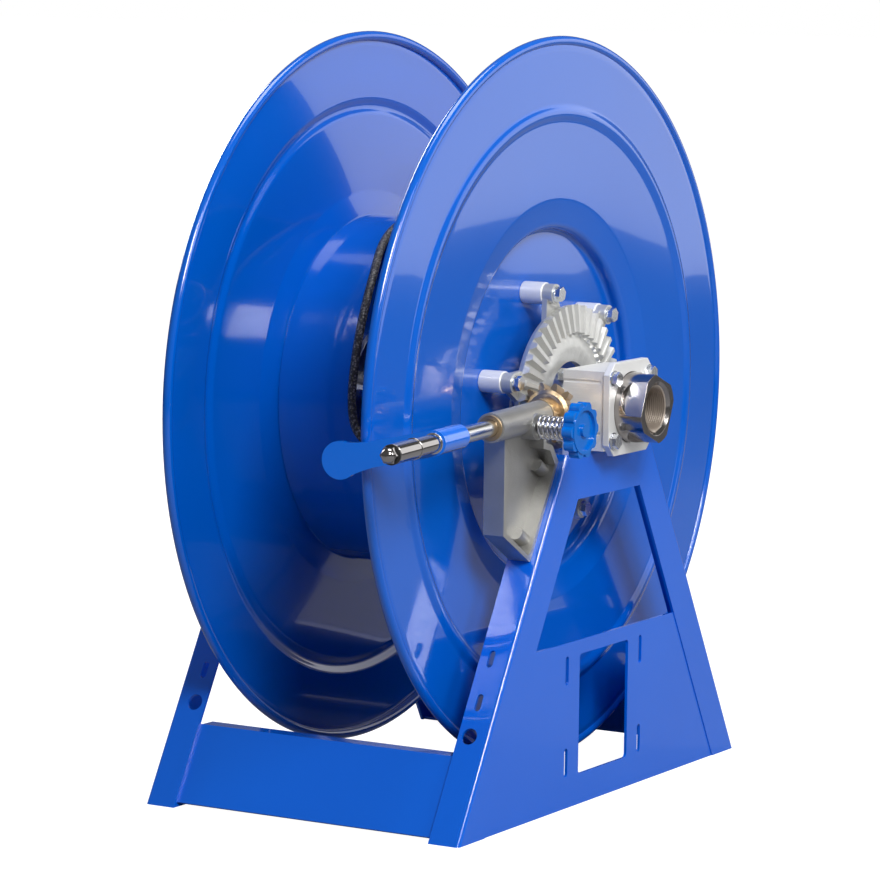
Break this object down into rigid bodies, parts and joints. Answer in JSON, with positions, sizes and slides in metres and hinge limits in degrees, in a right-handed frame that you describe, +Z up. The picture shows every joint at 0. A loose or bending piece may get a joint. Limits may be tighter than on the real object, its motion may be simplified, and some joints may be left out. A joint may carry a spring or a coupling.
{
  "type": "fire hose reel",
  "caption": "Hand-cranked hose reel: two large pressed discs and a slotted drum on a welded A-frame base, with bevel gear rewind, drag brake and swivel inlet.",
  "frame": {"origin": "on the floor, under the middle of the base", "axes": "+X along the reel's axis towards the swivel inlet, +Y away from the crank, +Z up"},
  "size_m": [0.4209, 0.8209, 0.7405],
  "materials": {
    "frame_paint": "gloss blue powder coat",
    "reel_paint": "gloss blue powder coat",
    "crank_paint": "gloss blue powder coat",
    "knob_paint": "gloss blue, cast lobes",
    "block_aluminium": "sawn and machined, satin",
    "cast_aluminium": "as cast, fine grain",
    "standoff_aluminium": "turned, bright",
    "zinc_plate": "bright zinc",
    "plated_pipe": "zinc-plated pipe",
    "shaft_steel": "ground bright bar",
    "spring_steel": "drawn wire",
    "bronze": "sintered",
    "brass": "machined",
    "nickel_plate": "nickel plate, turned",
    "grip_chrome": "polished",
    "trim_rubber": "textured edge trim",
    "seal_rubber": "smooth",
    "brake_lining": "pressed lining",
    "black_washer": "smooth"
  },
  "bodies": {
    "frame": {"near_front_leg": "frame_paint", "near_rear_leg": "frame_paint", "far_front_leg": "frame_paint", "far_rear_leg": "frame_paint", "near_crosspiece": "frame_paint", "far_crosspiece": "frame_paint", "near_side_plate": "frame_paint", "front_cross_plate": "frame_paint", "rear_cross_plate": "frame_paint", "near_bearing_block": "block_aluminium", "clamp_plate": "block_aluminium", "block_bolts": "zinc_plate", "block_nuts": "zinc_plate", "near_block_screws": "zinc_plate", "near_bearing_bush": "bronze", "far_bearing_block": "block_aluminium", "far_block_screws": "zinc_plate", "far_bearing_bush": "bronze", "gear_housing": "cast_aluminium", "housing_bolts": "zinc_plate", "front_bush": "bronze", "rear_bush": "bronze", "brake_plug": "brake_lining", "brake_spring": "spring_steel"},
    "inlet": {"inlet_body": "nickel_plate", "inlet_seals": "seal_rubber"},
    "reel": {"near_disc": "reel_paint", "far_disc": "reel_paint", "drum": "reel_paint", "slot_trim": "trim_rubber", "hub_tube": "plated_pipe", "near_hub_flange": "plated_pipe", "near_hub_screws": "zinc_plate", "far_hub_flange": "plated_pipe", "far_hub_screws": "zinc_plate", "far_axle": "shaft_steel", "axle_collar": "zinc_plate", "riser": "plated_pipe", "outlet_coupling": "brass", "ring_gear": "cast_aluminium", "gear_standoffs": "standoff_aluminium", "gear_bolts": "zinc_plate", "gear_nuts": "zinc_plate"},
    "crank": {"pinion": "brass", "pinion_key": "zinc_plate", "thrust_washer": "bronze", "crank_shaft": "shaft_steel", "crank_hub": "crank_paint", "crank_key": "zinc_plate", "crank_arm": "crank_paint", "grip_bolt": "zinc_plate", "grip_washer": "black_washer", "grip_cap_nut": "grip_chrome"},
    "grip": {"grip_sleeve": "grip_chrome", "grip_collar": "grip_chrome"},
    "brake_slider": {"brake_washer": "zinc_plate"},
    "brake_knob": {"brake_knob": "knob_paint", "brake_screw": "zinc_plate"}
  },
  "joints": [
    {"name": "reel_spin", "type": "hinge", "parent": "frame", "child": "reel", "pos_m": [0, 0, 0.385], "axis": [1, 0, 0], "continuous": true},
    {"name": "crank_spin", "type": "hinge", "parent": "frame", "child": "crank", "pos_m": [0.1445, 0, 0.385], "axis": [-0.1219, 0.9925, 0], "continuous": true},
    {"name": "grip_spin", "type": "hinge", "parent": "crank", "child": "grip", "pos_m": [0.19447, -0.40694, 0.385], "axis": [-0.1219, 0.9925, 0], "continuous": true},
    {"name": "inlet_swivel", "type": "hinge", "parent": "frame", "child": "inlet", "pos_m": [0.2, 0, 0.385], "axis": [1, 0, 0], "continuous": true},
    {"name": "brake_turn", "type": "hinge", "parent": "brake_slider", "child": "brake_knob", "pos_m": [0.22, -0.152, 0.379], "axis": [1, 0, 0], "range_deg": [0, 1080]},
    {"name": "brake_travel", "type": "slide", "parent": "frame", "child": "brake_slider", "axis": [-1, 0, 0], "range_m": [0, 0.0045], "deforming": ["brake_spring"]}
  ],
  "couplings": [
    {"joint": "crank_spin", "follows": "reel_spin", "ratio": -3.75},
    {"joint": "brake_travel", "follows": "brake_turn", "m_per_rad": 0.00023873}
  ]
}
